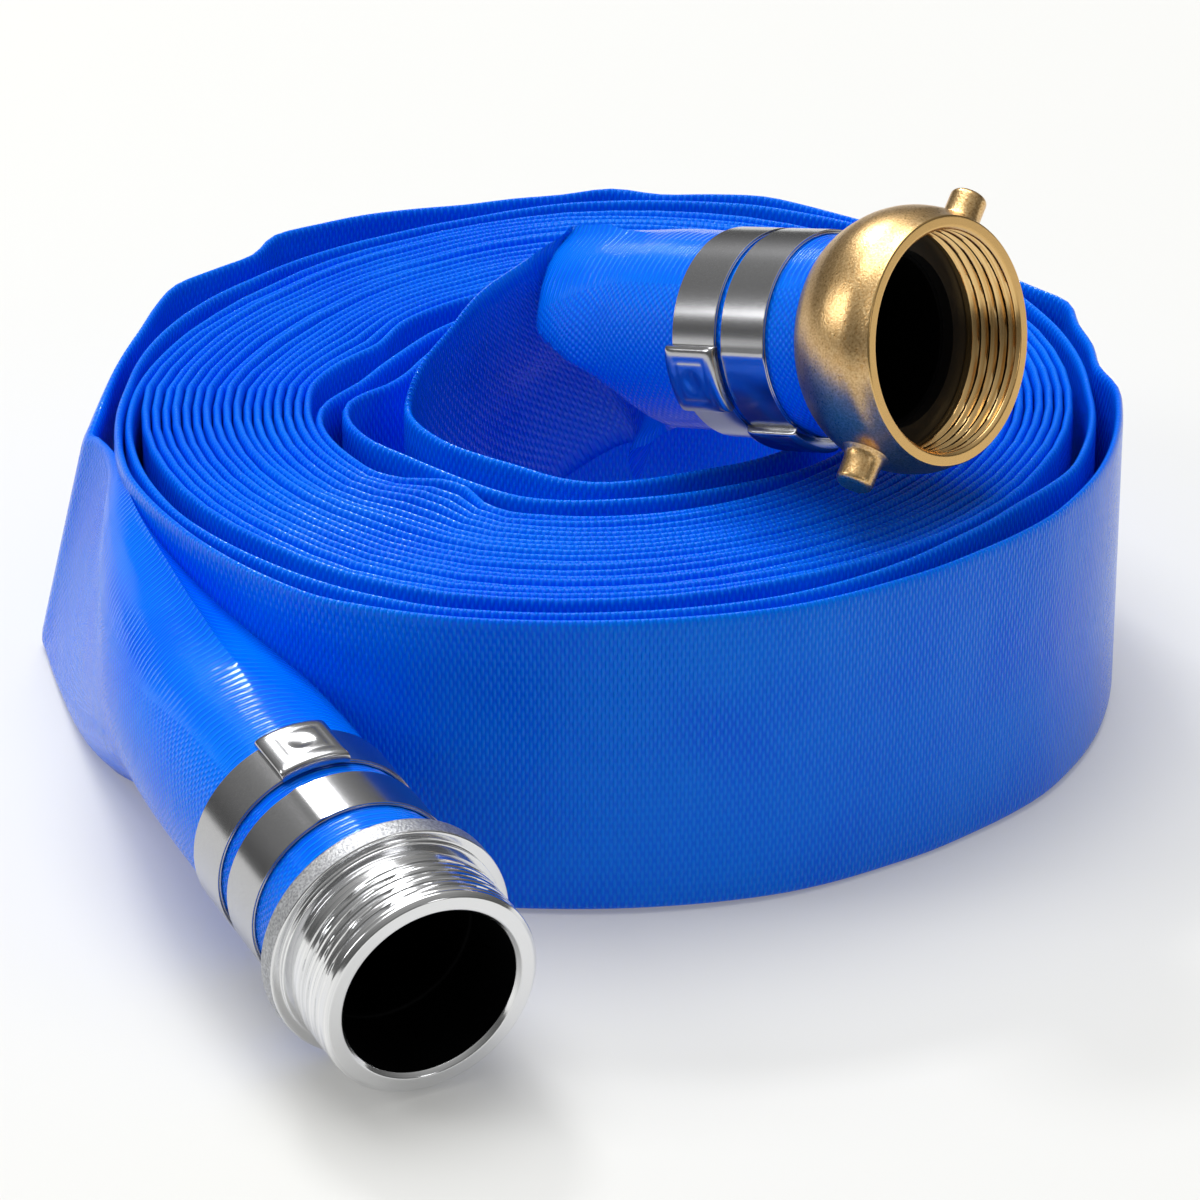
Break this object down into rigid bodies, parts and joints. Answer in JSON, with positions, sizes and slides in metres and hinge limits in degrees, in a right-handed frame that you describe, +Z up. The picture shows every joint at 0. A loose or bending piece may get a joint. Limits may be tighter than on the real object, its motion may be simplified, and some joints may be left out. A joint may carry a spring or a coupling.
{
  "type": "rolled fire hose",
  "caption": "Blue lay-flat hose wound flat into a roll, with a threaded alloy coupling on the outer end and a brass swivel coupling on the inner end",
  "frame": {"origin": "on the floor, under the middle of the object's bounding box", "axes": "+Z up, the roll lies flat; -Y towards the front, where the threaded end lies; +X to the right"},
  "size_m": [0.3122, 0.4144, 0.1689],
  "materials": {
    "hose_pvc": "semi-gloss ribbed PVC over woven yarn",
    "cast_alloy": "turned, with an as-cast flange rim",
    "cast_brass": "sand-cast, turned at the mouth",
    "gasket_rubber": "matt",
    "band_steel": "bright rolled strip"
  },
  "bodies": {
    "hose": {"hose_roll": "hose_pvc", "hose_outer_end": "hose_pvc", "hose_inner_end": "hose_pvc", "male_coupling": "cast_alloy", "swivel_shank": "cast_alloy", "male_front_band": "band_steel", "male_front_buckle": "band_steel", "male_rear_band": "band_steel", "male_rear_buckle": "band_steel", "swivel_front_band": "band_steel", "swivel_front_buckle": "band_steel", "swivel_rear_band": "band_steel", "swivel_rear_buckle": "band_steel"},
    "nut": {"swivel_nut": "cast_brass", "gasket": "gasket_rubber"}
  },
  "joints": [
    {"name": "nut_spin", "type": "hinge", "parent": "hose", "child": "nut", "pos_m": [0.10137, -0.02487, 0.1355], "axis": [0.7355, -0.6349, 0.2365], "continuous": true}
  ]
}
